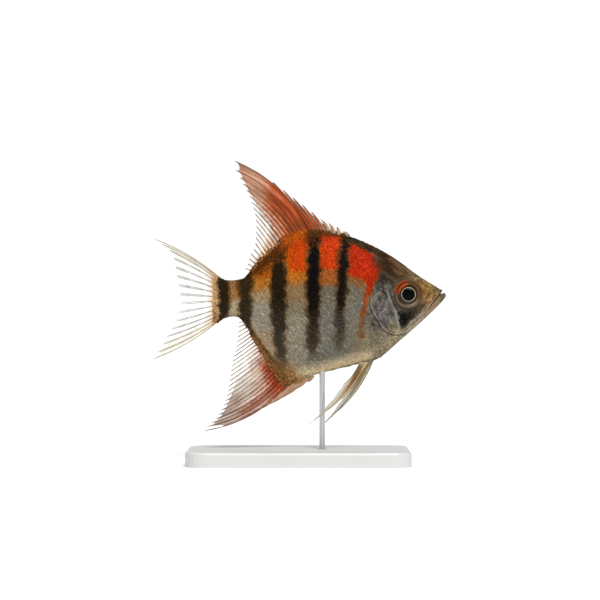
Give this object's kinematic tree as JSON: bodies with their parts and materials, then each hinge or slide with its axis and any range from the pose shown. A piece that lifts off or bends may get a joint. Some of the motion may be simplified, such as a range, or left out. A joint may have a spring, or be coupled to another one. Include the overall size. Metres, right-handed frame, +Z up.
{
  "type": "freshwater angelfish model",
  "caption": "Life-size still model of a freshwater angelfish: a deep, flat, diamond-shaped body with tall swept fins and dark bars, held over a flat base by a short rod.",
  "frame": {"origin": "middle of the stand base's underside, under the middle of the fish's length, on the floor", "axes": "+X the way the fish swims, +Y toward the fish's left side, +Z up"},
  "size_m": [0.0798, 0.036, 0.0819],
  "materials": {
    "skin": "wet-looking scaled fish skin, silver-grey with dark bars and orange-red patches",
    "fin": "thin fin web over bony rays, brick red to nearly clear",
    "eye": "glossy black pupil and dark bronze iris under a clear cornea",
    "stand_base": "satin pale grey",
    "stand_rod": "fine satin"
  },
  "bodies": {
    "root": {"head": "skin", "lower_jaw": "skin", "gill_cover_left": "skin", "gill_cover_right": "skin", "trunk": "skin", "tail_stalk": "skin", "dorsal_fin": "fin", "anal_fin": "fin", "tail_fin": "fin", "pelvic_fin_left": "fin", "pelvic_fin_right": "fin", "pectoral_fin_left": "fin", "pectoral_fin_right": "fin", "eye_left": "eye", "eye_right": "eye", "stand_base": "stand_base", "stand_rod": "stand_rod"}
  },
  "joints": []
}
